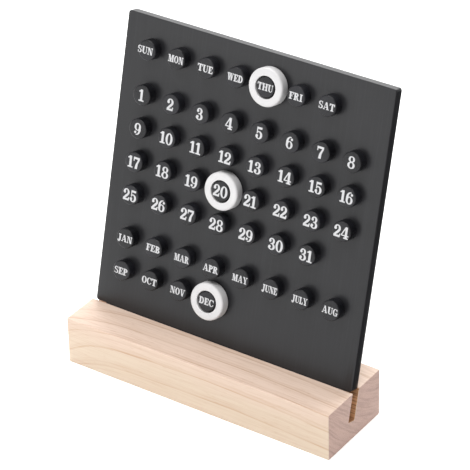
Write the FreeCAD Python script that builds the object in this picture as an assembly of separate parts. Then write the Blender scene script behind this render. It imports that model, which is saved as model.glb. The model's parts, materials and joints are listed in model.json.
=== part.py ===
import FreeCAD, Part
import math
import os

# A perpetual desk calendar.  A square board stands in a slanted slot sawn along
# a pine foot.  Rows of round pegs on the board carry the weekdays, the days of
# the month and the months, and three loose rings mark the current date.
# Millimetres, +Z up, origin at the middle of the foot's underside, and the pegs
# face -Y.

# ---- driving dimensions -------------------------------------------------------

# pegs: a turned head, and a spigot glued into the board
PEG_RADIUS = 6.6
PEG_HEIGHT = 6.8
PEG_RIM_CHAMFER = 0.35
SPIGOT_RADIUS = 3.0
SPIGOT_LENGTH = 4.0
SPIGOT_CLEARANCE = 0.05
SPIGOT_END_GAP = 0.2

# marker rings, loose on their pegs and hanging a little low
RING_WALL = 5.0
RING_BORE_CLEARANCE = 0.7
RING_THICKNESS = 6.8
RING_FRONT_ROUND = 1.3
RING_BACK_ROUND = 0.6
RING_BORE_CHAMFER = 0.3
RING_BOARD_GAP = 0.1
RING_HANG = 0.3

# peg grid: room between a ring and the next peg, the extra step between two
# groups of rows, and the margins from the outer pegs' middles to the board's edges
RING_TO_NEXT_PEG = 3.3
GROUP_EXTRA_STEP = 7.25
MARGIN_LEFT = 21.2
MARGIN_RIGHT = 19.6
MARGIN_TOP = 20.3
MARGIN_BOTTOM = 27.9

# board: the panel above the foot, and a narrower tongue inside the slot
BOARD_THICKNESS = 6.8
BOARD_CORNER_RADIUS = 2.0
BOARD_EDGE_BREAK = 0.35
TONGUE_INSET = 8.0

# pine foot, which runs past the board at both ends
FOOT_DEPTH = 58.9
FOOT_HEIGHT = 33.5
FOOT_PAST_LEFT = 2.6
FOOT_PAST_RIGHT = 1.2
FOOT_ARRIS = 0.4

# slot along the foot, leaning back with the board
LEAN_DEG = 14.7
SLOT_LIP_Y = -1.4
SLOT_DEPTH = 20.0
SLOT_CLEARANCE = 0.1
SLOT_FLOOR_GAP = 0.1

# ---- what the pegs say --------------------------------------------------------

WEEKDAYS = ["sun", "mon", "tue", "wed", "thu", "fri", "sat"]
DAYS = ["day_%02d" % number for number in range(1, 32)]
MONTHS = ["jan", "feb", "mar", "apr", "may", "june", "july", "aug", "sep", "oct", "nov", "dec"]
COLUMNS = 8

# each ring and the peg that it starts on
RINGS = {"ring_weekday": "thu", "ring_day": "day_20", "ring_month": "dec"}


def split_rows(names):
    """Lay a list of names out in rows of COLUMNS, left to right."""
    return [names[start:start + COLUMNS] for start in range(0, len(names), COLUMNS)]


# ---- sizes that follow --------------------------------------------------------

GROUPS = [split_rows(WEEKDAYS), split_rows(DAYS), split_rows(MONTHS)]
ROW_COUNT = sum(len(rows) for rows in GROUPS)
RING_BORE_RADIUS = PEG_RADIUS + RING_BORE_CLEARANCE
RING_OUTER_RADIUS = RING_BORE_RADIUS + RING_WALL
GRID_PITCH = PEG_RADIUS + RING_OUTER_RADIUS + RING_TO_NEXT_PEG
GRID_WIDTH = (COLUMNS - 1) * GRID_PITCH
GRID_HEIGHT = (ROW_COUNT - 1) * GRID_PITCH + (len(GROUPS) - 1) * GROUP_EXTRA_STEP
BOARD_WIDTH = MARGIN_LEFT + GRID_WIDTH + MARGIN_RIGHT
BOARD_HEIGHT = MARGIN_TOP + GRID_HEIGHT + MARGIN_BOTTOM
FOOT_LENGTH = FOOT_PAST_LEFT + BOARD_WIDTH + FOOT_PAST_RIGHT
BOARD_OFFSET_X = (FOOT_PAST_LEFT - FOOT_PAST_RIGHT) / 2
BOARD_FACE_Y = SLOT_LIP_Y + SLOT_CLEARANCE / math.cos(math.radians(LEAN_DEG))
TONGUE_DEPTH = SLOT_DEPTH - SLOT_FLOOR_GAP
TINY = 0.01

# The board, pegs and rings are made upright, with the board's face on y = 0, its
# middle on x = 0 and its visible lower edge on z = 0, and are then leaned back.
X_AXIS = FreeCAD.Vector(1, 0, 0)
Y_AXIS = FreeCAD.Vector(0, 1, 0)
OUT_OF_FACE = FreeCAD.Vector(0, -1, 0)


def peg_places():
    """Each peg's place on the upright board, as x and z."""
    first_x = MARGIN_LEFT - BOARD_WIDTH / 2
    z = BOARD_HEIGHT - MARGIN_TOP
    places = {}
    for rows in GROUPS:
        for row in rows:
            for column, name in enumerate(row):
                places[name] = (first_x + column * GRID_PITCH, z)
            z -= GRID_PITCH
        z -= GROUP_EXTRA_STEP
    return places


def lean_back(shape):
    """Lean an upright shape back into the slanted slot."""
    leaning = shape.copy()
    leaning.rotate(FreeCAD.Vector(0, 0, 0), X_AXIS, -LEAN_DEG)
    leaning.translate(FreeCAD.Vector(BOARD_OFFSET_X, BOARD_FACE_Y, FOOT_HEIGHT))
    return leaning


def box_between(x0, x1, y0, y1, z0, z1):
    """A box from its lowest and highest corners."""
    return Part.makeBox(x1 - x0, y1 - y0, z1 - z0, FreeCAD.Vector(x0, y0, z0))


def upright_corner_edges(panel):
    """The panel's four edges through its thickness."""
    return [edge for edge in panel.Edges if edge.BoundBox.YLength > BOARD_THICKNESS / 2]


def outline_edges(panel):
    """The edges round the panel's front and back faces."""
    return [edge for edge in panel.Edges if edge.BoundBox.YLength < TINY]


def rim_edges(turned, y, radius):
    """The round edges of a turned shape that have a given y and radius."""
    return [
        edge for edge in turned.Edges
        if edge.Curve.TypeId == "Part::GeomCircle"
        and abs(edge.Curve.Center.y - y) < TINY
        and abs(edge.Curve.Radius - radius) < TINY
    ]


def make_wood_base():
    """The foot: a planed block with its arrises broken and the slot sawn in."""
    block = box_between(
        -FOOT_LENGTH / 2, FOOT_LENGTH / 2,
        -FOOT_DEPTH / 2, FOOT_DEPTH / 2,
        0, FOOT_HEIGHT,
    )
    block = block.makeChamfer(FOOT_ARRIS, block.Edges)
    saw_cut = box_between(
        -FOOT_LENGTH, FOOT_LENGTH,
        -SLOT_CLEARANCE, BOARD_THICKNESS + SLOT_CLEARANCE,
        -SLOT_DEPTH, FOOT_HEIGHT,
    )
    return block.cut(lean_back(saw_cut))


def make_board():
    """The panel with its tongue and a blind hole for each peg's spigot."""
    half = BOARD_WIDTH / 2
    panel = box_between(-half, half, 0, BOARD_THICKNESS, 0, BOARD_HEIGHT)
    panel = panel.makeFillet(BOARD_CORNER_RADIUS, upright_corner_edges(panel))
    panel = panel.makeChamfer(BOARD_EDGE_BREAK, outline_edges(panel))
    tongue = box_between(
        TONGUE_INSET - half, half - TONGUE_INSET,
        0, BOARD_THICKNESS,
        -TONGUE_DEPTH, BOARD_CORNER_RADIUS,
    )
    board = panel.fuse(tongue).removeSplitter()
    hole_radius = SPIGOT_RADIUS + SPIGOT_CLEARANCE
    hole_depth = SPIGOT_LENGTH + SPIGOT_END_GAP
    holes = []
    for x, z in peg_places().values():
        mouth = FreeCAD.Vector(x, 0, z)
        holes.append(Part.makeCylinder(hole_radius, hole_depth, mouth, Y_AXIS))
    return lean_back(board.cut(holes))


def make_peg(x, z):
    """A turned peg: a head with a chamfered rim, and a spigot behind it."""
    seat = FreeCAD.Vector(x, 0, z)
    head = Part.makeCylinder(PEG_RADIUS, PEG_HEIGHT, seat, OUT_OF_FACE)
    head = head.makeChamfer(PEG_RIM_CHAMFER, rim_edges(head, -PEG_HEIGHT, PEG_RADIUS))
    spigot_end = seat + Y_AXIS * SPIGOT_LENGTH
    spigot_into_head = PEG_HEIGHT / 2
    spigot = Part.makeCylinder(
        SPIGOT_RADIUS, SPIGOT_LENGTH + spigot_into_head, spigot_end, OUT_OF_FACE
    )
    return lean_back(head.fuse(spigot).removeSplitter())


def make_ring(x, z):
    """A loose marker ring round a peg, rounded more at its front than at its back."""
    back_y = -RING_BOARD_GAP
    front_y = back_y - RING_THICKNESS
    back = FreeCAD.Vector(x, back_y, z - RING_HANG)
    ring = Part.makeCylinder(RING_OUTER_RADIUS, RING_THICKNESS, back, OUT_OF_FACE)
    ring = ring.makeFillet(RING_FRONT_ROUND, rim_edges(ring, front_y, RING_OUTER_RADIUS))
    ring = ring.makeFillet(RING_BACK_ROUND, rim_edges(ring, back_y, RING_OUTER_RADIUS))
    ring = ring.cut(Part.makeCylinder(RING_BORE_RADIUS, RING_THICKNESS, back, OUT_OF_FACE))
    bore_mouths = rim_edges(ring, front_y, RING_BORE_RADIUS)
    bore_mouths += rim_edges(ring, back_y, RING_BORE_RADIUS)
    return lean_back(ring.makeChamfer(RING_BORE_CHAMFER, bore_mouths))


def build():
    """Every node's shape by its name."""
    places = peg_places()
    shapes = {"wood_base": make_wood_base(), "board": make_board()}
    for name, (x, z) in places.items():
        shapes["peg_" + name] = make_peg(x, z)
    for ring_name, peg_name in RINGS.items():
        shapes[ring_name] = make_ring(*places[peg_name])
    return shapes


os.makedirs("parts", exist_ok=True)
for node, shape in build().items():
    shape.exportStep("parts/" + node + ".step")
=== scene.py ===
import json
import math

import bpy
from bpy.props import FloatProperty, FloatVectorProperty, IntProperty, PointerProperty
from mathutils import Euler, Matrix, Vector


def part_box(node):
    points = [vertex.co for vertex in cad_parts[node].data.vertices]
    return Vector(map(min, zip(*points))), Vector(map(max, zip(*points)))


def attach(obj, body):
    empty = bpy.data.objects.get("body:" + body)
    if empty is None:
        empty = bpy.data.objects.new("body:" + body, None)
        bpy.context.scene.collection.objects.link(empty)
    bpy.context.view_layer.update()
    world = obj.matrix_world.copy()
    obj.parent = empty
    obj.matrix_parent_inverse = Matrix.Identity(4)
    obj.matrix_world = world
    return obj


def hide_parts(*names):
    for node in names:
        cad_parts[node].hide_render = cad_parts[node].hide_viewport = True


bl_info = {
    "name": "Perpetual Desk Calendar",
    "version": (1, 0, 0),
    "blender": (4, 5, 0),
    "location": "View3D > Sidebar > Calendar",
    "description": "Models a peg and ring desk calendar round its packed frame",
    "category": "Add Mesh",
}

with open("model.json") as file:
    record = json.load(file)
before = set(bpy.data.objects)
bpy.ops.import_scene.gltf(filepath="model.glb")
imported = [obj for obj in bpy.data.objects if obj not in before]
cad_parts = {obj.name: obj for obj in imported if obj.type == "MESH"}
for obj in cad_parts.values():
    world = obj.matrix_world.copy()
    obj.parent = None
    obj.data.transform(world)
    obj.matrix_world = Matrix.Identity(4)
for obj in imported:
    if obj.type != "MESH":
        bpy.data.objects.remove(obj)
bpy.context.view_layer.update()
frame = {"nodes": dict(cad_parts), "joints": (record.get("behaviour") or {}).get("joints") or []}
FOOT_LOW, FOOT_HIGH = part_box("wood_base")
MM = 0.001
TOLERANCE = 0.01 * MM  # room for rounding where places are compared


# ---- the board's lean, and places read from the frame ----------------------------


def joint_axis(name):
    """A joint's axis as a unit vector."""
    for joint in frame["joints"]:
        if joint["name"] == name:
            return Vector(joint["axis"]).normalized()
    raise ValueError("no joint is named " + name)


LIFT_AXIS = joint_axis("board_lift")
LEAN = math.atan2(LIFT_AXIS.y, LIFT_AXIS.z)
STAND_UP = Matrix.Rotation(LEAN, 4, "X")  # stands the leaning board upright


def upright_points(node):
    """A node's points after the board is turned upright about the X axis."""
    return [STAND_UP @ vertex.co for vertex in frame["nodes"][node].data.vertices]


def corners(points):
    """The lowest and highest corners of some points."""
    low = Vector([min(point[axis] for point in points) for axis in range(3)])
    high = Vector([max(point[axis] for point in points) for axis in range(3)])
    return low, high


def place_on_board(node):
    """A node's middle on the upright board, as x and z."""
    low, high = corners(upright_points(node))
    return (low.x + high.x) / 2, (low.z + high.z) / 2


BOARD_POINTS = upright_points("board")
BOARD_LOW, BOARD_HIGH = corners(BOARD_POINTS)
BOARD_FACE = BOARD_LOW.y


# ---- what the pegs say -----------------------------------------------------------

WEEKDAYS = ["sun", "mon", "tue", "wed", "thu", "fri", "sat"]
MONTHS = ["jan", "feb", "mar", "apr", "may", "june", "july", "aug", "sep", "oct", "nov", "dec"]

# What each peg says, by the end of its node's name.
LABELS = {name: name.upper() for name in WEEKDAYS + MONTHS}
LABELS.update({"day_%02d" % number: str(number) for number in range(1, 32)})

# How far a word's print lies to the side of its peg's middle.
PRINT_SHIFT = {"sun": -1.0 * MM}

# Each marker ring's node and the body that it rides on.
RING_BODIES = {
    "ring_weekday": "weekday_ring",
    "ring_day": "day_ring",
    "ring_month": "month_ring",
}


# ---- settings --------------------------------------------------------------------


def length(name, description, default):
    """A size in metres."""
    return FloatProperty(
        name=name, description=description, default=default,
        unit="LENGTH", precision=5,
    )


def colour(name, description, default):
    """A linear colour."""
    return FloatVectorProperty(
        name=name, description=description, default=default,
        subtype="COLOR", size=3, min=0.0, max=1.0,
    )


def share(name, description, default):
    """A plain factor from 0 to 1."""
    return FloatProperty(
        name=name, description=description, default=default, min=0.0, max=1.0,
    )


class FootSettings(bpy.types.PropertyGroup):
    """The pine foot."""

    arris: length("Arris", "Rounding of the planed edges", 0.35 * MM)
    slot_clearance: length("Slot clearance", "Room behind and under the board", 0.1 * MM)
    lip_gap: length("Lip gap", "Room between the board's face and the slot's lip", 0.3 * MM)
    ring_width: length("Ring width", "Width of one growth ring", 8.9 * MM)
    early_wood: colour("Early wood", "Pale wood of spring growth", (0.612, 0.500, 0.388))
    late_wood: colour("Late wood", "Darker line that ends a ring", (0.475, 0.305, 0.20))
    blush: colour("Blush", "Pinkish cast towards the top", (0.630, 0.488, 0.397))
    # The top face's colour is pinker wood, made paler with painted light on the top face.
    top_wood: colour("Top wood", "Freshly planed top face", (0.725, 0.560, 0.460))
    end_wood: colour("End wood", "Cut ends of the fibres", (0.520, 0.362, 0.308))
    # The slot's colour is partly sawn wood and partly painted shade that darkens the slot's
    # walls.
    sawn_wood: colour("Sawn wood", "Rough walls of the slot", (0.56, 0.29, 0.145))


class BoardSettings(bpy.types.PropertyGroup):
    """The painted board."""

    corner_radius: length("Corner radius", "Radius of the board's corners", 2.0 * MM)
    edge_round: length("Edge round", "Rounding along the board's edges", 0.45 * MM)
    paint: colour("Paint", "Satin charcoal paint", (0.0098, 0.0098, 0.0112))
    roughness: share("Roughness", "Roughness of the board's paint", 0.31)


class PegSettings(bpy.types.PropertyGroup):
    """The turned pegs."""

    rim_round: length("Rim round", "Rounding of the face's rim", 0.75 * MM)
    spigot_radius: length("Spigot radius", "Radius of the glued spigot", 3.0 * MM)
    paint: colour("Paint", "Satin black paint", (0.0038, 0.0038, 0.0048))
    roughness: share("Roughness", "Roughness of the pegs' paint", 0.30)
    sides: IntProperty(name="Sides", description="Facets round a peg", default=72, min=24)


class PrintSettings(bpy.types.PropertyGroup):
    """The printed words and numbers."""

    number_height: length("Number height", "Height of the day numbers", 7.65 * MM)
    word_height: length("Word height", "Height of the capitals", 4.6 * MM)
    widest_word: length("Widest word", "Width that long words are squeezed to", 11.2 * MM)
    film: length("Film", "How far the ink stands above the face", 0.06 * MM)
    ink: colour("Ink", "White ink", (0.535, 0.535, 0.545))


class RingSettings(bpy.types.PropertyGroup):
    """The loose marker rings."""

    front_round: length("Front round", "Rounding of the outer front edge", 1.3 * MM)
    back_round: length("Back round", "Rounding of the outer back edge", 0.6 * MM)
    bore_round: length("Bore round", "Rounding of the bore's edges", 0.35 * MM)
    white: colour("White", "Satin white", (0.580, 0.573, 0.575))
    steps: IntProperty(name="Steps", description="Steps round a ring", default=128, min=32)


class StageSettings(bpy.types.PropertyGroup):
    """The floor, the lights and the camera."""

    floor: colour("Floor", "Plain pale floor", (0.94, 0.94, 0.94))
    floor_glow: share("Floor glow", "Light that comes up through the floor", 0.28)
    room_light: share("Room light", "Light from the pale room all round", 0.50)
    azimuth: FloatProperty(
        name="Azimuth", description="Camera's turn from straight in front",
        default=math.radians(35.083), subtype="ANGLE",
    )
    elevation: FloatProperty(
        name="Elevation", description="Camera's height angle",
        default=math.radians(31.968), subtype="ANGLE",
    )
    roll: FloatProperty(
        name="Roll", description="Camera's turn about its own axis",
        default=math.radians(-1.449), subtype="ANGLE",
    )
    distance: length("Distance", "From the camera to its target", 1.6784)
    target: FloatVectorProperty(
        name="Target", description="Point that the camera looks at",
        default=(0.01164, 0.00223, 0.11709), subtype="TRANSLATION", size=3,
    )
    lens: FloatProperty(
        name="Lens", description="Focal length in millimetres", default=208.85, min=1.0,
    )


# ---- modelling helpers -----------------------------------------------------------


def enter_edit():
    """Open the selected meshes for editing."""
    bpy.ops.object.mode_set(mode="EDIT")


def leave_edit():
    """Go back to object mode."""
    bpy.ops.object.mode_set(mode="OBJECT")


def deselect_all():
    """Leave edit mode and deselect every object."""
    if bpy.context.object is not None and bpy.context.object.mode != "OBJECT":
        leave_edit()
    for obj in list(bpy.context.selected_objects):
        obj.select_set(False)


def pick(*objects):
    """Select these objects and no others, and make the first the active one."""
    deselect_all()
    for obj in objects:
        obj.select_set(True)
    bpy.context.view_layer.objects.active = objects[0]


def join(objects):
    """Join objects into the first of them."""
    pick(*objects)
    bpy.ops.object.join()
    return objects[0]


def remove(obj):
    """Delete an object and its mesh."""
    mesh = obj.data
    bpy.data.objects.remove(obj)
    bpy.data.meshes.remove(mesh)


def apply_place(obj):
    """Put an object's place, turn and scale into its mesh."""
    pick(obj)
    bpy.ops.object.transform_apply(location=True, rotation=True, scale=True)


def add_block(name, low, high):
    """A block between two corners, as a start."""
    deselect_all()
    bpy.ops.mesh.primitive_cube_add(size=1, location=(low + high) / 2)
    block = bpy.context.object
    block.name = name
    block.scale = high - low
    apply_place(block)
    return block


def add_rod(name, radius, front_y, back_y, x=0.0, z=0.0, sides=48):
    """A round rod along Y between two depths, as a start."""
    deselect_all()
    bpy.ops.mesh.primitive_cylinder_add(
        vertices=sides, radius=radius, depth=back_y - front_y,
        location=(x, (front_y + back_y) / 2, z), rotation=(math.pi / 2, 0, 0),
    )
    rod = bpy.context.object
    rod.name = name
    apply_place(rod)
    return rod


def select_where(obj, kind, test):
    """Open a mesh for editing, with its vertices, edges or faces that pass a test selected."""
    pick(obj)
    enter_edit()
    bpy.ops.mesh.select_mode(type=kind)
    bpy.ops.mesh.select_all(action="DESELECT")
    leave_edit()
    mesh = obj.data
    parts = {"VERT": mesh.vertices, "EDGE": mesh.edges, "FACE": mesh.polygons}[kind]
    for part in parts:
        part.select = test(part)
    enter_edit()


def edge_ends(obj, edge):
    """The two ends of an edge."""
    return [obj.data.vertices[index].co for index in edge.vertices]


def apply_modifier(obj, kind, **settings):
    """Add a modifier with its settings and apply it."""
    pick(obj)
    modifier = obj.modifiers.new(kind.title(), kind)
    for key, value in settings.items():
        setattr(modifier, key, value)
    bpy.ops.object.modifier_apply(modifier=modifier.name)


def cut_away(obj, tool):
    """Subtract a tool from an object and delete the tool."""
    apply_modifier(obj, "BOOLEAN", operation="DIFFERENCE", object=tool, solver="EXACT")
    remove(tool)


def round_sharp_edges(obj, width):
    """Round every sharp edge."""
    apply_modifier(
        obj, "BEVEL", width=width, segments=3,
        limit_method="ANGLE", angle_limit=math.radians(35),
    )


def smooth(obj, degrees=35):
    """Smooth shading up to an angle."""
    pick(obj)
    bpy.ops.object.shade_smooth_by_angle(angle=math.radians(degrees))


def lean_back(obj):
    """Lean an upright piece back with the board."""
    obj.rotation_euler = Euler((-LEAN, 0, 0))
    apply_place(obj)


def copy_piece(obj, name):
    """A copy of a piece with a mesh of its own."""
    twin = obj.copy()
    twin.data = obj.data.copy()
    twin.name = name
    twin.data.name = name
    bpy.context.scene.collection.objects.link(twin)
    return twin


def finish_piece(obj, body, slot, material, *nodes):
    """Give a piece its material and body, and hide the nodes that it stands for."""
    obj.data.materials.clear()
    obj.data.materials.append(material)
    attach(obj, body)
    if nodes:
        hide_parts(*nodes)


# ---- material helpers ------------------------------------------------------------

# The numbers of a Mix node's colour sockets, which share their names with others.
MIX_FACTOR = 0
MIX_FIRST = 6
MIX_SECOND = 7
MIX_RESULT = 2


class Wire:
    """An output socket that takes part in arithmetic."""

    def __init__(self, recipe, socket):
        self.recipe = recipe
        self.socket = socket

    def math(self, operation, *others):
        """A Math node on this socket and any others."""
        return self.recipe.node("ShaderNodeMath", [self, *others], operation=operation)

    def __add__(self, other):
        return self.math("ADD", other)

    def __sub__(self, other):
        return self.math("SUBTRACT", other)

    def __rsub__(self, other):
        return self.recipe.node("ShaderNodeMath", [other, self], operation="SUBTRACT")

    def __mul__(self, other):
        return self.math("MULTIPLY", other)

    def __truediv__(self, other):
        return self.math("DIVIDE", other)

    def __pow__(self, other):
        return self.math("POWER", other)

    __radd__ = __add__
    __rmul__ = __mul__


class Recipe:
    """A material in the making."""

    def __init__(self, name):
        self.material = bpy.data.materials.new(name)
        self.material.use_nodes = True
        self.tree = self.material.node_tree
        self.tree.nodes.clear()

    def node(self, kind, values=(), output=0, **settings):
        """Add a node.  values are its inputs, in order or by name or number."""
        node = self.tree.nodes.new(kind)
        for key, value in settings.items():
            setattr(node, key, value)
        pairs = values.items() if isinstance(values, dict) else enumerate(values)
        for key, value in pairs:
            socket = node.inputs[key]
            if isinstance(value, Wire):
                self.tree.links.new(value.socket, socket)
            elif socket.type == "RGBA":
                socket.default_value = (*value, 1.0)
            else:
                socket.default_value = value
        return Wire(self, node.outputs[output]) if node.outputs else None

    def place(self):
        """The place on the piece, in millimetres."""
        spot = self.node("ShaderNodeTexCoord", output="Object")
        return self.node(
            "ShaderNodeVectorMath", {"Vector": spot, "Scale": 1 / MM}, operation="SCALE"
        )

    def noise(self, place, scale, detail=2.0, roughness=0.5):
        """Noise from 0 to 1 over a place, at a scale in features to the millimetre."""
        return self.node(
            "ShaderNodeTexNoise",
            {"Vector": place, "Scale": scale, "Detail": detail, "Roughness": roughness},
        )

    def streaks(self, place, scales, detail=2.0, roughness=0.5):
        """Noise whose scale differs along X, Y and Z."""
        stretched = self.node("ShaderNodeVectorMath", [place, scales], operation="MULTIPLY")
        return self.noise(stretched, 1.0, detail, roughness)

    def ramp(self, value, low, high):
        """A smooth step from 0 at low to 1 at high."""
        return self.node(
            "ShaderNodeMapRange", [value, low, high, 0.0, 1.0],
            interpolation_type="SMOOTHSTEP",
        )

    def mix(self, factor, first, second):
        """A mix of two colours."""
        return self.node(
            "ShaderNodeMix", {MIX_FACTOR: factor, MIX_FIRST: first, MIX_SECOND: second},
            output=MIX_RESULT, data_type="RGBA",
        )

    def bump(self, height, distance, strength):
        """A bumped normal.  A height of 1 stands out by the distance, in metres."""
        return self.node(
            "ShaderNodeBump",
            {"Height": height, "Distance": distance, "Strength": strength},
        )

    def finish(self, **values):
        """Close the recipe with a Principled shader."""
        inputs = {key.replace("_", " "): value for key, value in values.items()}
        shader = self.node("ShaderNodeBsdfPrincipled", inputs)
        self.node("ShaderNodeOutputMaterial", {"Surface": shader})
        return self.material


# ---- materials -------------------------------------------------------------------

# The pine's lengths are in millimetres from the foot's origin.  The pith of the tree
# lies above and behind the block and runs along X.  The rings lie further from it at
# the left end, towards the right end and close under the top face.
PITH_Y = 55.8
PITH_Z = 88.0
RING_RADIUS = 97.7  # of one ring, from which the others are counted
SPARE_RINGS = 40.0  # keeps the count above 0
LEFT_SWELL = 10.0
LEFT_SWELL_LENGTH = 22.0
RIGHT_DROOP = 2.5
RIGHT_DROOP_LENGTH = 100.0
TOP_SWELL = 1.9
TOP_SWELL_START = 24.0
LONG_WANDER = 2.6
SHORT_WANDER = 0.7


def ring_depth(wood, place, x, y, z):
    """The distance from the pith, less what bends the rings out of round."""
    swell = LEFT_SWELL * ((x - FOOT_LOW.x / MM) / -LEFT_SWELL_LENGTH).math("EXPONENT")
    droop = RIGHT_DROOP * (x / RIGHT_DROOP_LENGTH).math("MAXIMUM", 0.0) ** 2.0
    top_swell = TOP_SWELL * wood.ramp(z, TOP_SWELL_START, FOOT_HIGH.z / MM)
    long_wander = LONG_WANDER * (wood.streaks(place, (0.012, 0.035, 0.035)) - 0.5)
    short_wander = SHORT_WANDER * (wood.streaks(place, (0.03, 0.22, 0.22)) - 0.5)
    reach = ((y - PITH_Y) ** 2.0 + (z - PITH_Z) ** 2.0) ** 0.5
    return reach - swell - droop - top_swell + long_wander + short_wander


def pine(settings):
    """Planed pine: growth rings about a pith above the block, fibres along X."""
    wood = Recipe("Planed pine")
    place = wood.place()
    axes = wood.node("ShaderNodeSeparateXYZ", [place]).socket.node.outputs
    x, y, z = (Wire(wood, axis) for axis in axes)
    top = FOOT_HIGH.z / MM
    depth = ring_depth(wood, place, x, y, z)
    ring = ((depth - RING_RADIUS) / (settings.ring_width / MM) + SPARE_RINGS).math("FRACT")

    # Late wood: a soft band up to each ring's end, a hard line there and one inside.
    ring_end = 1.0 - wood.ramp(ring, 0.955, 0.995)
    band = wood.ramp(ring, 0.55, 0.93) * ring_end
    line = wood.ramp(ring, 0.86, 0.93) * ring_end
    inner_line = wood.ramp(ring, 0.70, 0.745) * (1.0 - wood.ramp(ring, 0.76, 0.80))

    # What varies along the fibres.
    along_ring = wood.node("ShaderNodeCombineXYZ", [x * 0.008, depth * 0.75, 0.0])
    fine_lines = wood.ramp(wood.noise(along_ring, 1.0, 3.0, 0.65), 0.48, 0.72)
    fibres = wood.streaks(place, (0.045, 1.3, 1.3), 3.0, 0.65)
    dashes = wood.ramp(wood.streaks(place, (0.16, 0.95, 0.95), 1.0), 0.64, 0.76)
    patches = wood.streaks(place, (0.02, 0.08, 0.08))
    strength = wood.ramp(wood.streaks(place, (0.025, 0.09, 0.09), 1.0), 0.3, 0.7)

    # The sides, pinker towards the top, and the paler top face, whose pink is the wood's and
    # whose paleness is partly painted light.
    upper = wood.ramp(z + 12.0 * (patches - 0.5), 16.0, 32.0)
    base = wood.mix(0.85 * upper, settings.early_wood, settings.blush)
    base = wood.mix(0.9 * wood.ramp(z, top - 0.6, top - 0.1), base, settings.top_wood)
    grain = 0.16 * band + (0.16 + 0.34 * strength) * line + 0.22 * strength * inner_line
    grain = grain + 0.27 * fine_lines + 0.30 * wood.ramp(fibres, 0.42, 0.75) + 0.30 * dashes
    base = wood.mix(grain.math("MINIMUM", 0.9), base, settings.late_wood)

    # The cut ends, with their pores and fine rings.
    end_grain = wood.node("ShaderNodeAttribute", attribute_name="end_grain", output="Fac")
    pores = wood.streaks(place, (0.5, 1.3, 1.3), 3.0, 0.75)
    across_end = wood.node("ShaderNodeCombineXYZ", [0.0, depth * 0.5, y * 0.05])
    end_lines = wood.ramp(wood.noise(across_end, 1.0, 3.0, 0.65), 0.44, 0.66)
    dark_end = tuple(0.62 * channel for channel in settings.end_wood)
    end_share = 0.12 * (band + line) + 0.42 * (end_lines + wood.ramp(pores, 0.40, 0.66))
    end_base = wood.mix(end_share.math("MINIMUM", 1.0), settings.end_wood, dark_end)
    base = wood.mix(end_grain, base, end_base)

    # The slot's rough walls: sawn wood, darkened further with painted shade where shade falls in
    # the deep slot.
    sawn = wood.node("ShaderNodeAttribute", attribute_name="sawn", output="Fac")
    dark_saw_and_shade = tuple(0.45 * channel for channel in settings.sawn_wood)
    saw_marks = wood.ramp(wood.streaks(place, (0.05, 0.6, 0.9), 2.0, 0.6), 0.40, 0.62)
    base = wood.mix(sawn, base, wood.mix(saw_marks, settings.sawn_wood, dark_saw_and_shade))

    roughness = 0.50 + 0.10 * fibres + 0.15 * end_grain
    height = 0.6 * fibres + 0.5 * line + 0.8 * end_grain * pores
    return wood.finish(
        Base_Color=base, Roughness=roughness,
        Normal=wood.bump(height, 0.05 * MM, 0.55),
        Specular_IOR_Level=0.35,
    )


def satin_paint(name, paint, contrast, roughness, peel_depth, peel_size, streaks, shine):
    """Satin paint with a fine peel, soft clouds and the grain below as faint streaks.

    contrast is how many times brighter than the paint its palest spots are, and
    shine is its specular level.
    """
    coat = Recipe(name)
    place = coat.place()
    peel = coat.noise(place, 1.0 / peel_size, 3.0, 0.6)
    cloud = coat.ramp(coat.noise(place, 0.05, 2.0), 0.3, 0.7)
    streak = coat.streaks(place, (0.8, 0.02, 0.02), 4.0, 0.65)
    lighter = tuple(contrast * channel for channel in paint)
    paler = 0.35 * cloud + 0.35 * coat.ramp(peel, 0.45, 0.75)
    paler = paler + streaks * coat.ramp(streak, 0.45, 0.75)
    return coat.finish(
        Base_Color=coat.mix(paler.math("MINIMUM", 1.0), paint, lighter),
        Roughness=roughness - 0.06 + 0.08 * peel + 0.05 * cloud,
        Normal=coat.bump(peel + streaks * streak, peel_depth, 0.6),
        Specular_IOR_Level=shine,
    )


def satin_white(settings):
    """Moulded satin white, very slightly uneven."""
    white = Recipe("Ring white")
    place = white.place()
    peel = white.noise(place, 2.2, 3.0, 0.6)
    cloud = white.noise(place, 0.09, 2.0)
    shaded = tuple(0.95 * channel for channel in settings.white)
    base = white.mix(white.ramp(cloud, 0.3, 0.7), settings.white, shaded)
    return white.finish(
        Base_Color=base, Roughness=0.42 + 0.12 * peel,
        Normal=white.bump(peel, 0.03 * MM, 0.5),
    )


def white_ink(settings):
    """Pad-printed ink, a little thin in places."""
    ink = Recipe("White ink")
    place = ink.place()
    thin = ink.noise(place, 3.0, 3.0, 0.6)
    worn = tuple(0.80 * channel for channel in settings.ink)
    base = ink.mix(0.8 * ink.ramp(thin, 0.45, 0.75), settings.ink, worn)
    return ink.finish(Base_Color=base, Roughness=0.6 + 0.1 * thin)


def studio_floor(settings):
    """A plain pale floor, lit a little from below like a light table."""
    floor = Recipe("Studio floor")
    cloud = floor.noise(floor.place(), 0.004, 2.0)
    return floor.finish(
        Base_Color=settings.floor, Roughness=0.85 + 0.05 * cloud,
        Specular_IOR_Level=0.2, Emission_Color=(1.0, 1.0, 1.0),
        Emission_Strength=settings.floor_glow,
    )


def black_card():
    """Matt black card with a fine nap, as painted shade for the floor in shadow."""
    card = Recipe("Black card")
    nap = card.noise(card.place(), 0.5, 2.0)
    return card.finish(Base_Color=(0.02, 0.02, 0.02), Roughness=0.9 + 0.1 * nap)


# ---- letterforms -----------------------------------------------------------------

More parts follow.
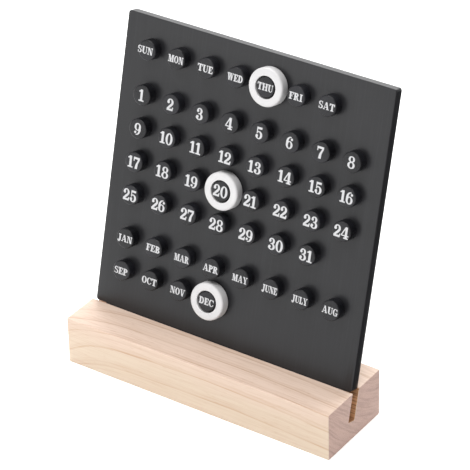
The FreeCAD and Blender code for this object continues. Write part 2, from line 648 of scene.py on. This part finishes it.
# A glyph is a list of strokes that overlap, and a stroke is an outline with any
# holes in it.  Capitals and numbers are 1 high, in a bold slab face with bracketed
# serifs and ball ends.
STEM = 0.25
HAIR = 0.12
SERIF = 0.11
OVERHANG = 0.09
BRACKET = 0.05
WEDGE_ROOT = 0.15
WEDGE_TIP = 0.08
ARC_STEP = math.radians(10)
LETTER_GAP = 0.05
HALF_DEPTH = 0.1
STROKE_WELD = 1e-5
GLYPH_WELD = 1e-4

# How far a serif reaches out to the left and right of its stem.
BOTH_SIDES = (OVERHANG, OVERHANG)
LEFT_ONLY = (OVERHANG, 0.0)
NO_SERIF = None


def arc(cx, cy, rx, ry, start, end):
    """Points along an ellipse, from one angle to another in degrees."""
    start = math.radians(start)
    end = math.radians(end)
    steps = max(2, math.ceil(abs(end - start) / ARC_STEP))
    turns = [start + (end - start) * step / steps for step in range(steps + 1)]
    return [(cx + rx * math.cos(turn), cy + ry * math.sin(turn)) for turn in turns]


def patch(*points):
    """A stroke with straight sides between its points."""
    return [[list(points)]]


def slab(x0, x1, y0, y1):
    """A rectangular stroke."""
    return patch((x0, y0), (x1, y0), (x1, y1), (x0, y1))


def ball(cx, cy, radius):
    """A round end."""
    return [[arc(cx, cy, radius, radius, 0, 360)[:-1]]]


def slope(x0, y0, x1, y1, weight):
    """A slanted stroke between two points, with level ends."""
    half = weight / 2
    return patch((x0 - half, y0), (x0 + half, y0), (x1 + half, y1), (x1 - half, y1))


def bracket(x, y, dx, dy):
    """The hollow curve between a stem and its serif, rooted a little inside both."""
    inside_x = x - 0.2 * dx
    inside_y = y - 0.2 * dy
    hollow = arc(x + dx, y + dy, -dx, -dy, 90, 0)
    return [[[(inside_x, inside_y), (x + dx, inside_y)] + hollow + [(inside_x, y + dy)]]]


def bowl(cx, cy, rx, ry, left, right, top, bottom, start=0, end=360):
    """A round stroke whose weight differs on each side, over a range of angles."""
    inner_x = cx + (left - right) / 2
    inner_y = cy + (bottom - top) / 2
    inner_rx = rx - (left + right) / 2
    inner_ry = ry - (top + bottom) / 2
    outer = arc(cx, cy, rx, ry, start, end)
    inner = arc(inner_x, inner_y, inner_rx, inner_ry, end, start)
    if end - start == 360:
        return [[outer[:-1], inner[:-1]]]
    return [[outer + inner]]


def foot_serif(x0, x1):
    """A plain serif on the base line."""
    return slab(x0, x1, 0.0, SERIF)


def head_serif(x0, x1):
    """A plain serif at the top of a capital."""
    return slab(x0, x1, 1.0 - SERIF, 1.0)


def foot_hairline(x0, x1):
    """A thin level stroke on the base line."""
    return slab(x0, x1, 0.0, HAIR)


def head_hairline(x0, x1):
    """A thin level stroke at the top of a capital."""
    return slab(x0, x1, 1.0 - HAIR, 1.0)


def stem(x, weight=STEM, low=0.0, high=1.0, foot=BOTH_SIDES, head=BOTH_SIDES):
    """An upright stroke with a bracketed serif at its foot and its head."""
    strokes = slab(x, x + weight, low, high)
    for reach, y, up in ((foot, low, 1), (head, high, -1)):
        if reach is None:
            continue
        edge = y + up * SERIF
        strokes += slab(x - reach[0], x + weight + reach[1], min(y, edge), max(y, edge))
        if reach[0] > 0:
            strokes += bracket(x, edge, -BRACKET, up * BRACKET)
        if reach[1] > 0:
            strokes += bracket(x + weight, edge, BRACKET, up * BRACKET)
    return strokes


def arm(x0, x1, y, tip):
    """A level hairline from a stem, with a wedge at its end that points up or down."""
    edge = y + math.copysign(HAIR, tip)
    root = x1 - WEDGE_ROOT
    wedge = patch((x1, y), (x1, y + tip), (x1 - WEDGE_TIP, y + tip), (root, edge), (root, y))
    return slab(x0, x1, min(y, edge), max(y, edge)) + wedge


def half_turn(strokes, cx, cy):
    """Strokes turned by half a turn about a point."""
    return [
        [[(2 * cx - x, 2 * cy - y) for x, y in loop] for loop in stroke]
        for stroke in strokes
    ]


SIX = (
    bowl(0.335, 0.315, 0.315, 0.325, 0.185, 0.185, 0.08, 0.085)
    + bowl(0.40, 0.50, 0.38, 0.51, 0.19, 0.19, 0.085, 0.085, 78, 205)
    + ball(0.525, 0.80, 0.105)
)
GLYPHS = {
    "0": bowl(0.34, 0.50, 0.34, 0.51, 0.20, 0.20, 0.09, 0.09),
    "1": stem(0.19, 0.21, foot=(0.14, 0.14), head=NO_SERIF)
    + patch((0.19, 1.0), (0.19, 0.79), (0.03, 0.79), (0.03, 0.87), (0.11, 0.90)),
    "2": bowl(0.32, 0.705, 0.30, 0.305, 0.19, 0.195, 0.085, 0.085, -22, 172)
    + ball(0.135, 0.70, 0.12)
    + patch((0.61, 0.62), (0.42, 0.64), (0.02, 0.17), (0.02, 0.0), (0.20, 0.14), (0.50, 0.42))
    + slab(0.02, 0.60, 0.0, 0.165)
    + patch((0.60, 0.0), (0.64, 0.31), (0.555, 0.31), (0.50, 0.16)),
    "3": bowl(0.30, 0.745, 0.27, 0.265, 0.16, 0.185, 0.085, 0.08, -88, 160)
    + bowl(0.30, 0.275, 0.335, 0.285, 0.18, 0.20, 0.08, 0.085, -165, 88)
    + slab(0.20, 0.33, 0.475, 0.56) + ball(0.135, 0.745, 0.11) + ball(0.13, 0.25, 0.12),
    "4": stem(0.36, 0.20, foot=(0.11, 0.11), head=NO_SERIF)
    + patch((0.0, 0.31), (0.0, 0.24), (0.10, 0.31), (0.40, 0.86), (0.40, 1.0), (0.36, 1.0))
    + slab(0.0, 0.70, 0.22, 0.31),
    "5": slab(0.10, 0.57, 0.82, 1.0) + slab(0.10, 0.185, 0.44, 1.0)
    + bowl(0.31, 0.325, 0.325, 0.335, 0.18, 0.20, 0.09, 0.085, -165, 128)
    + ball(0.13, 0.25, 0.12),
    "6": SIX,
    "7": slab(0.03, 0.63, 0.82, 1.0) + slab(0.03, 0.115, 0.64, 1.0)
    + patch(
        (0.63, 0.86), (0.63, 0.80), (0.47, 0.44), (0.44, 0.0), (0.20, 0.0), (0.25, 0.36),
        (0.48, 0.83),
    ),
    "8": bowl(0.34, 0.755, 0.285, 0.255, 0.17, 0.17, 0.08, 0.075)
    + bowl(0.34, 0.27, 0.335, 0.28, 0.19, 0.19, 0.075, 0.085),
    "9": half_turn(SIX, 0.335, 0.50),
    "A": slope(0.13, 0.05, 0.42, 1.0, 0.09) + slope(0.72, 0.05, 0.45, 1.0, 0.22)
    + slab(0.22, 0.62, 0.26, 0.345) + foot_serif(0.0, 0.27) + foot_serif(0.52, 0.90),
    "B": stem(0.09, foot=LEFT_ONLY, head=LEFT_ONLY)
    + bowl(0.38, 0.745, 0.30, 0.255, 0.1, 0.205, HAIR, HAIR, -90, 90)
    + bowl(0.38, 0.275, 0.36, 0.275, 0.1, 0.22, HAIR, HAIR, -90, 90)
    + head_hairline(0.20, 0.39) + slab(0.20, 0.39, 0.47, 0.555) + foot_hairline(0.20, 0.39),
    "C": bowl(0.40, 0.50, 0.40, 0.51, 0.23, 0.16, 0.09, 0.09, 38, 322)
    + slab(0.665, 0.75, 0.64, 0.99)
    + patch((0.68, 0.19), (0.75, 0.25), (0.75, 0.33), (0.66, 0.27)),
    "D": stem(0.09, foot=LEFT_ONLY, head=LEFT_ONLY)
    + bowl(0.38, 0.50, 0.43, 0.50, 0.1, 0.23, HAIR, HAIR, -90, 90)
    + head_hairline(0.20, 0.39) + foot_hairline(0.20, 0.39),
    "E": stem(0.09, foot=LEFT_ONLY, head=LEFT_ONLY)
    + arm(0.2, 0.68, 1.0, -0.31) + arm(0.2, 0.72, 0.0, 0.33)
    + slab(0.2, 0.50, 0.46, 0.54) + slab(0.435, 0.50, 0.34, 0.66),
    "F": stem(0.09, foot=(OVERHANG, 0.13), head=LEFT_ONLY)
    + arm(0.2, 0.68, 1.0, -0.31) + slab(0.2, 0.50, 0.46, 0.54) + slab(0.435, 0.50, 0.34, 0.66),
    "G": bowl(0.40, 0.50, 0.40, 0.51, 0.23, 0.16, 0.09, 0.09, 38, 300)
    + slab(0.645, 0.725, 0.66, 0.99) + slab(0.54, 0.74, 0.03, 0.44)
    + slab(0.45, 0.84, 0.35, 0.445),
    "H": stem(0.09) + stem(0.61) + slab(0.25, 0.65, 0.455, 0.545),
    "I": stem(0.10, 0.23, foot=(0.10, 0.10), head=(0.10, 0.10)),
    "J": stem(0.25, low=0.12, foot=NO_SERIF, head=(0.11, 0.09))
    + bowl(0.20, 0.12, 0.25, 0.27, 0.10, 0.22, 0.09, 0.09, 180, 360) + ball(0.10, 0.08, 0.105),
    "L": stem(0.09, foot=LEFT_ONLY, head=(OVERHANG, 0.12)) + arm(0.2, 0.70, 0.0, 0.36),
    "M": stem(0.12, 0.085, foot=(0.11, 0.10), head=NO_SERIF) + head_serif(0.01, 0.26)
    + slope(0.50, 0.0, 0.25, 1.0, 0.24) + slope(0.50, 0.0, 0.75, 1.0, 0.09)
    + stem(0.74, foot=(0.08, 0.09), head=(0.02, 0.09)),
    "N": stem(0.12, 0.085, foot=(0.11, 0.10), head=NO_SERIF) + head_serif(0.01, 0.26)
    + slope(0.70, 0.0, 0.25, 1.0, 0.25) + stem(0.70, 0.085, foot=NO_SERIF, head=(0.11, 0.09)),
    "O": bowl(0.40, 0.50, 0.40, 0.51, 0.23, 0.23, 0.09, 0.09),
    "P": stem(0.09, foot=(OVERHANG, 0.13), head=LEFT_ONLY)
    + bowl(0.38, 0.725, 0.34, 0.275, 0.1, 0.22, HAIR, HAIR, -90, 90)
    + head_hairline(0.20, 0.39) + slab(0.20, 0.39, 0.45, 0.535),
    "R": stem(0.09, foot=(OVERHANG, 0.08), head=LEFT_ONLY)
    + bowl(0.38, 0.745, 0.32, 0.255, 0.1, 0.21, HAIR, HAIR, -90, 90)
    + head_hairline(0.20, 0.39) + slab(0.20, 0.42, 0.47, 0.555)
    + slope(0.68, 0.0, 0.46, 0.52, 0.22) + foot_serif(0.60, 0.86),
    "S": bowl(0.32, 0.735, 0.30, 0.275, 0.185, 0.13, 0.09, 0.085, 30, 235)
    + bowl(0.34, 0.275, 0.31, 0.285, 0.13, 0.195, 0.085, 0.09, -150, 58)
    + patch((0.12, 0.55), (0.30, 0.45), (0.52, 0.36), (0.58, 0.44), (0.40, 0.56), (0.18, 0.65))
    + slab(0.53, 0.60, 0.66, 0.99) + slab(0.04, 0.11, 0.01, 0.34),
    "T": stem(0.30, foot=(0.11, 0.11), head=NO_SERIF) + arm(0.35, 0.80, 1.0, -0.33)
    + half_turn(arm(0.35, 0.80, 0.0, 0.33), 0.40, 0.50),
    "U": stem(0.09, low=0.30, foot=NO_SERIF) + stem(0.68, 0.085, low=0.30, foot=NO_SERIF)
    + bowl(0.4275, 0.31, 0.3375, 0.32, 0.22, 0.085, 0.09, 0.10, 180, 360),
    "V": slope(0.44, 0.0, 0.19, 1.0, 0.23) + slope(0.46, 0.0, 0.71, 1.0, 0.09)
    + head_serif(0.0, 0.38) + head_serif(0.58, 0.86),
    "W": slope(0.36, 0.0, 0.18, 1.0, 0.23) + slope(0.38, 0.0, 0.56, 1.0, 0.085)
    + slope(0.78, 0.0, 0.60, 1.0, 0.23) + slope(0.80, 0.0, 0.98, 1.0, 0.085)
    + head_serif(0.0, 0.76) + head_serif(0.86, 1.12),
    "Y": slope(0.43, 0.42, 0.18, 1.0, 0.22) + slope(0.45, 0.42, 0.70, 1.0, 0.09)
    + stem(0.33, high=0.5, foot=(0.11, 0.11), head=NO_SERIF)
    + head_serif(0.0, 0.37) + head_serif(0.58, 0.85),
}


def stroke_object(loops):
    """One stroke as a filled curve in the XY plane, with its holes and a depth."""
    curve = bpy.data.curves.new("stroke", "CURVE")
    curve.dimensions = "2D"
    curve.fill_mode = "BOTH"
    curve.extrude = HALF_DEPTH
    for loop in loops:
        spline = curve.splines.new("POLY")
        spline.points.add(len(loop) - 1)
        for point, (x, y) in zip(spline.points, loop):
            point.co = (x, y, 0.0, 1.0)
        spline.use_cyclic_u = True
    stroke = bpy.data.objects.new("stroke", curve)
    bpy.context.scene.collection.objects.link(stroke)
    return stroke


def model_glyph(character):
    """One glyph standing in the XZ plane: its strokes made solid and united."""
    strokes = [stroke_object(loops) for loops in GLYPHS[character]]
    pick(*strokes)
    bpy.ops.object.convert(target="MESH")
    enter_edit()
    bpy.ops.mesh.select_all(action="SELECT")
    bpy.ops.mesh.remove_doubles(threshold=STROKE_WELD)
    bpy.ops.mesh.normals_make_consistent(inside=False)
    leave_edit()
    glyph = join(strokes)
    glyph.name = "glyph_" + character
    apply_modifier(
        glyph, "BOOLEAN", operation="UNION", operand_type="COLLECTION",
        solver="EXACT", use_self=True,
    )
    select_where(glyph, "FACE", lambda face: True)
    bpy.ops.mesh.remove_doubles(threshold=GLYPH_WELD)
    bpy.ops.mesh.dissolve_limited(angle_limit=math.radians(1))
    leave_edit()
    glyph.rotation_euler = Euler((math.pi / 2, 0, 0))
    apply_place(glyph)
    return glyph


def glyph_span(glyph):
    """The left and right limits of a glyph."""
    low, high = corners([vertex.co for vertex in glyph.data.vertices])
    return low.x, high.x


# ---- pieces ----------------------------------------------------------------------

SAW_OVERRUN = 20.0 * MM
SPIGOT_CLEARANCE = 0.05 * MM
HOLE_PAST_SPIGOT = 0.2 * MM
SPIGOT_END_INSET = 0.3 * MM


def model_foot(settings):
    """The foot: a planed block, its slanted saw slot and its rounded arrises."""
    foot = add_block("foot", FOOT_LOW, FOOT_HIGH)
    gap = settings.slot_clearance
    left = FOOT_LOW.x - SAW_OVERRUN
    right = FOOT_HIGH.x + SAW_OVERRUN
    slot_low = Vector((left, BOARD_LOW.y - settings.lip_gap, BOARD_LOW.z - gap))
    slot_high = Vector((right, BOARD_HIGH.y + gap, BOARD_HIGH.z))
    saw_cut = add_block("saw_cut", slot_low, slot_high)
    lean_back(saw_cut)
    cut_away(foot, saw_cut)
    round_sharp_edges(foot, settings.arris)
    ends = foot.data.attributes.new("end_grain", "FLOAT", "FACE")
    # Faces of the slot's walls are marked for their sawn colour, which also holds painted shade.
    sawn = foot.data.attributes.new("sawn", "FLOAT", "FACE")
    # On the rounded edges the power fades the end grain into the side grain.
    for face in foot.data.polygons:
        ends.data[face.index].value = abs(face.normal.x) ** 4
        upright = STAND_UP @ face.center
        in_slot = slot_low.y - TOLERANCE < upright.y < slot_high.y + TOLERANCE
        sawn.data[face.index].value = float(in_slot and abs(face.normal.x) < 0.5)
    smooth(foot)
    return foot


def tongue_ends():
    """The ends of the tongue along X."""
    lowest = [point.x for point in BOARD_POINTS if point.z < BOARD_LOW.z + TOLERANCE]
    return min(lowest), max(lowest)


def panel_bottom(tongue_left):
    """The height on the upright board of the panel's edge beside the tongue."""
    beside = [point.z for point in BOARD_POINTS if point.x < tongue_left - TOLERANCE]
    return min(beside)


def model_board(settings, peg_settings):
    """The board: a panel with round corners, a tongue and holes for the pegs."""
    left, right = tongue_ends()
    panel_z = panel_bottom(left)
    board = add_block("board_panel", Vector((BOARD_LOW.x, BOARD_LOW.y, panel_z)), BOARD_HIGH)

    def through_thickness(edge):
        first, second = edge_ends(board, edge)
        return abs(first.y - second.y) > TOLERANCE

    select_where(board, "EDGE", through_thickness)
    bpy.ops.mesh.bevel(offset=settings.corner_radius, segments=10, affect="EDGES")
    for x in (left, right):
        bpy.ops.mesh.select_all(action="SELECT")
        bpy.ops.mesh.bisect(plane_co=(x, 0, 0), plane_no=(1, 0, 0))
    leave_edit()

    def above_tongue(face):
        return face.normal.z < -0.99 and left < face.center.x < right

    select_where(board, "FACE", above_tongue)
    bpy.ops.mesh.extrude_region_move(
        TRANSFORM_OT_translate={"value": (0, 0, BOARD_LOW.z - panel_z)}
    )
    leave_edit()
    round_sharp_edges(board, settings.edge_round)

    hole_radius = peg_settings.spigot_radius + SPIGOT_CLEARANCE
    holes = []
    for name in LABELS:
        x, z = place_on_board("peg_" + name)
        hole_end = corners(upright_points("peg_" + name))[1].y + HOLE_PAST_SPIGOT
        holes.append(add_rod("hole", hole_radius, BOARD_FACE - MM, hole_end, x, z))
    cut_away(board, join(holes))
    smooth(board)
    lean_back(board)
    return board


def model_peg(settings):
    """One peg at x = z = 0: a head with a rounded rim and a spigot behind it."""
    low, high = corners(upright_points("peg_sun"))
    radius = (high.x - low.x) / 2
    peg = add_rod("peg", radius, low.y, BOARD_FACE, sides=settings.sides)

    def front_rim(edge):
        return all(end.y < low.y + TOLERANCE for end in edge_ends(peg, edge))

    select_where(peg, "EDGE", front_rim)
    bpy.ops.mesh.bevel(offset=settings.rim_round, segments=4, affect="EDGES")
    leave_edit()

    select_where(peg, "FACE", lambda face: face.normal.y > 0.99)
    bpy.ops.mesh.inset(thickness=radius - settings.spigot_radius)
    bpy.ops.mesh.extrude_region_move(
        TRANSFORM_OT_translate={"value": (0, high.y - BOARD_FACE, 0)}
    )
    bpy.ops.mesh.inset(thickness=SPIGOT_END_INSET)
    leave_edit()
    smooth(peg, 30)
    return peg


def place_upright(template, name, x, z):
    """A copy of an upright template at a place on the board, leaned back."""
    piece = copy_piece(template, name)
    piece.location = (x, 0, z)
    apply_place(piece)
    lean_back(piece)
    return piece


def model_ring(settings):
    """One ring at x = z = 0: its rounded section spun round the peg's axis."""
    points = upright_points("ring_day")
    low, high = corners(points)
    middle = (low + high) / 2
    outer = (high.x - low.x) / 2
    bore = min(math.hypot(point.x - middle.x, point.z - middle.z) for point in points)
    wall_middle = (bore + outer) / 2
    deselect_all()
    bpy.ops.mesh.primitive_plane_add(size=1, location=(wall_middle, middle.y, 0))
    ring = bpy.context.object
    ring.name = "ring"
    ring.scale = (outer - bore, high.y - low.y, 1)
    apply_place(ring)
    rounds = (
        (settings.front_round, lambda spot: spot.x > wall_middle and spot.y < middle.y),
        (settings.back_round, lambda spot: spot.x > wall_middle and spot.y > middle.y),
        (settings.bore_round, lambda spot: abs(spot.x - bore) < TOLERANCE),
    )
    for radius, test in rounds:
        select_where(ring, "VERT", lambda vertex: test(vertex.co))
        bpy.ops.mesh.bevel(offset=radius, segments=6, affect="VERTICES")
        leave_edit()
    select_where(ring, "FACE", lambda face: True)
    bpy.ops.mesh.delete(type="ONLY_FACE")
    bpy.ops.mesh.select_all(action="SELECT")
    bpy.ops.mesh.spin(
        steps=settings.steps, angle=2 * math.pi, center=(0, 0, 0), axis=(0, 1, 0)
    )
    bpy.ops.mesh.select_all(action="SELECT")
    bpy.ops.mesh.remove_doubles(threshold=TOLERANCE / 2)
    bpy.ops.mesh.normals_make_consistent(inside=False)
    leave_edit()
    smooth(ring, 40)
    return ring


def model_label(text, settings, glyphs):
    """A word or number at x = z = 0 on the pegs' faces, as a thin film of ink."""
    face_y = corners(upright_points("peg_sun"))[0].y
    height = settings.number_height if text.isdigit() else settings.word_height
    spans = [glyph_span(glyphs[character]) for character in text]
    natural = sum(right - left for left, right in spans) + LETTER_GAP * (len(text) - 1)
    width = height * min(1.0, settings.widest_word / (natural * height))
    cursor = -natural / 2
    letters = []
    for character, (left, right) in zip(text, spans):
        letter = copy_piece(glyphs[character], "letter")
        letter.location = ((cursor - left) * width, face_y, -height / 2)
        letter.scale = (width, settings.film / HALF_DEPTH, height)
        letters.append(letter)
        cursor += right - left + LETTER_GAP
    label = join(letters)
    apply_place(label)
    smooth(label)
    return label


# ---- operators -------------------------------------------------------------------


class CALENDAR_OT_foot(bpy.types.Operator):
    """Model the pine foot with its slanted slot"""

    bl_idname = "calendar.foot"
    bl_label = "Foot"

    def execute(self, context):
        settings = context.scene.calendar_foot
        finish_piece(model_foot(settings), "foot", "pine", pine(settings), "wood_base")
        return {"FINISHED"}


class CALENDAR_OT_board(bpy.types.Operator):
    """Model the leaning board with its tongue"""

    bl_idname = "calendar.board"
    bl_label = "Board"

    def execute(self, context):
        settings = context.scene.calendar_board
        paint = satin_paint(
            "Board paint", settings.paint, contrast=1.6, roughness=settings.roughness,
            peel_depth=0.02 * MM, peel_size=0.35, streaks=0.6, shine=0.33,
        )
        board = model_board(settings, context.scene.calendar_pegs)
        finish_piece(board, "board", "black_board", paint, "board")
        return {"FINISHED"}


class CALENDAR_OT_pegs(bpy.types.Operator):
    """Model one peg and set a copy at each place"""

    bl_idname = "calendar.pegs"
    bl_label = "Pegs"

    def execute(self, context):
        settings = context.scene.calendar_pegs
        paint = satin_paint(
            "Peg paint", settings.paint, contrast=6.0, roughness=settings.roughness,
            peel_depth=0.3 * MM, peel_size=0.6, streaks=0.1, shine=0.31,
        )
        template = model_peg(settings)
        for name in LABELS:
            x, z = place_on_board("peg_" + name)
            peg = place_upright(template, "black_peg_" + name, x, z)
            finish_piece(peg, "board", "black_peg", paint, "peg_" + name)
        remove(template)
        return {"FINISHED"}


class CALENDAR_OT_print(bpy.types.Operator):
    """Print the weekdays, numbers and months on the pegs"""

    bl_idname = "calendar.print"
    bl_label = "Print"

    def execute(self, context):
        settings = context.scene.calendar_print
        ink = white_ink(settings)
        glyphs = {character: model_glyph(character) for character in GLYPHS}
        for name, text in LABELS.items():
            x, z = place_on_board("peg_" + name)
            x += PRINT_SHIFT.get(name, 0.0)
            label = model_label(text, settings, glyphs)
            printed = place_upright(label, "print_" + name, x, z)
            remove(label)
            finish_piece(printed, "board", "white_print", ink)
        for glyph in glyphs.values():
            remove(glyph)
        return {"FINISHED"}


class CALENDAR_OT_rings(bpy.types.Operator):
    """Model one marker ring and hang a copy on each marked peg"""

    bl_idname = "calendar.rings"
    bl_label = "Rings"

    def execute(self, context):
        settings = context.scene.calendar_rings
        white = satin_white(settings)
        template = model_ring(settings)
        for node, body in RING_BODIES.items():
            x, z = place_on_board(node)
            ring = place_upright(template, "white_" + node, x, z)
            finish_piece(ring, body, "white_ring", white, node)
        remove(template)
        return {"FINISHED"}


class CALENDAR_OT_stage(bpy.types.Operator):
    """Set out the floor, the lights and the camera"""

    bl_idname = "calendar.stage"
    bl_label = "Stage"

    def execute(self, context):
        settings = context.scene.calendar_stage
        add_floor(settings)
        add_lights(settings)
        add_camera(settings)
        return {"FINISHED"}


# ---- stage -----------------------------------------------------------------------

FLOOR_SIZE = 12.0
FLOOR_DROP = 0.2 * MM  # keeps the floor and the foot's underside apart
# Size and place of the black card of painted shade.
FLOOR_SHADOW_SIZE = 1.2
FLOOR_SHADOW_PLACE = (0.705, 0.53, 0.001)
SENSOR_WIDTH = 36.0

# Each softbox: its name, place, width, height and power in watts.
SOFTBOXES = (
    ("overhead_softbox", (-0.1, -0.4, 1.65), 1.4, 1.0, 22.5),
    ("front_left_softbox", (-0.85, -1.55, 0.5), 1.8, 0.9, 9.0),
    ("rear_softbox", (-0.3, 1.35, 1.35), 2.0, 1.4, 42.0),
    ("low_rear_softbox", (-0.95, 1.6, 0.5), 1.5, 0.55, 3.0),
)


def add_floor(settings):
    """A wide plain floor."""
    deselect_all()
    bpy.ops.mesh.primitive_plane_add(size=FLOOR_SIZE, location=(0, 0, -FLOOR_DROP))
    floor = bpy.context.object
    floor.name = "studio_floor"
    floor.data.materials.append(studio_floor(settings))


def aim(obj, spot, target):
    """Put an object at a spot, with its -Z axis towards a target."""
    obj.location = spot
    obj.rotation_euler = (Vector(target) - Vector(spot)).to_track_quat("-Z", "Y").to_euler()


def add_softbox(name, spot, width, height, watts, target):
    """A soft rectangular light, aimed at a target and unseen by the camera."""
    light = bpy.data.lights.new(name, "AREA")
    light.shape = "RECTANGLE"
    light.size = width
    light.size_y = height
    light.energy = watts
    lamp = bpy.data.objects.new(name, light)
    bpy.context.scene.collection.objects.link(lamp)
    aim(lamp, spot, target)
    lamp.visible_camera = False


def add_lights(settings):
    """The softboxes, the black card of painted shade and the pale room."""
    for softbox in SOFTBOXES:
        add_softbox(*softbox, settings.target)
    add_flag()
    world = bpy.data.worlds.new("Pale room")
    bpy.context.scene.world = world
    world.use_nodes = True
    background = world.node_tree.nodes["Background"]
    background.inputs["Color"].default_value = (1.0, 1.0, 1.0, 1.0)
    background.inputs["Strength"].default_value = settings.room_light


def add_flag():
    """A black card on the floor at the rear right, which only reflections see: painted shade for
    the floor lying in the board's shadow there.
    """
    deselect_all()
    bpy.ops.mesh.primitive_plane_add(size=FLOOR_SHADOW_SIZE, location=FLOOR_SHADOW_PLACE)
    flag = bpy.context.object
    flag.name = "floor_shadow_flag"
    flag.data.materials.append(black_card())
    flag.visible_camera = False
    flag.visible_diffuse = False
    flag.visible_shadow = False


def add_camera(settings):
    """The camera, turned about its target by azimuth, elevation and roll."""
    camera = bpy.data.cameras.new("camera")
    camera.lens = settings.lens
    camera.sensor_width = SENSOR_WIDTH
    viewer = bpy.data.objects.new("camera", camera)
    bpy.context.scene.collection.objects.link(viewer)
    turn = Euler((math.pi / 2 - settings.elevation, 0, settings.azimuth)).to_matrix()
    viewer.location = Vector(settings.target) + turn @ Vector((0, 0, settings.distance))
    viewer.rotation_euler = (turn @ Matrix.Rotation(settings.roll, 3, "Z")).to_euler()
    bpy.context.scene.camera = viewer


# ---- panel and registration ------------------------------------------------------

OPERATORS = [
    CALENDAR_OT_foot,
    CALENDAR_OT_board,
    CALENDAR_OT_pegs,
    CALENDAR_OT_print,
    CALENDAR_OT_rings,
    CALENDAR_OT_stage,
]
SETTINGS = {
    "calendar_foot": FootSettings,
    "calendar_board": BoardSettings,
    "calendar_pegs": PegSettings,
    "calendar_print": PrintSettings,
    "calendar_rings": RingSettings,
    "calendar_stage": StageSettings,
}


class CALENDAR_PT_panel(bpy.types.Panel):
    """The calendar's pieces and their sizes and colours."""

    bl_idname = "CALENDAR_PT_panel"
    bl_label = "Desk Calendar"
    bl_space_type = "VIEW_3D"
    bl_region_type = "UI"
    bl_category = "Calendar"

    def draw(self, context):
        for operator, group in zip(OPERATORS, SETTINGS):
            box = self.layout.box()
            box.operator(operator.bl_idname)
            settings = getattr(context.scene, group)
            for name in settings.bl_rna.properties.keys():
                if name not in ("rna_type", "name"):
                    box.prop(settings, name)


def register():
    """Register the classes and hang the settings on the scene."""
    for name, group in SETTINGS.items():
        bpy.utils.register_class(group)
        setattr(bpy.types.Scene, name, PointerProperty(type=group))
    for operator in OPERATORS:
        bpy.utils.register_class(operator)
    bpy.utils.register_class(CALENDAR_PT_panel)


def unregister():
    """Undo register."""
    bpy.utils.unregister_class(CALENDAR_PT_panel)
    for operator in reversed(OPERATORS):
        bpy.utils.unregister_class(operator)
    for name, group in SETTINGS.items():
        delattr(bpy.types.Scene, name)
        bpy.utils.unregister_class(group)


def main():
    """Build the calendar and its stage."""
    register()
    bpy.ops.calendar.foot()
    bpy.ops.calendar.board()
    bpy.ops.calendar.pegs()
    bpy.ops.calendar.print()
    bpy.ops.calendar.rings()
    bpy.ops.calendar.stage()
    bpy.context.scene.view_settings.view_transform = "Standard"


if __name__ == "__main__":
    main()
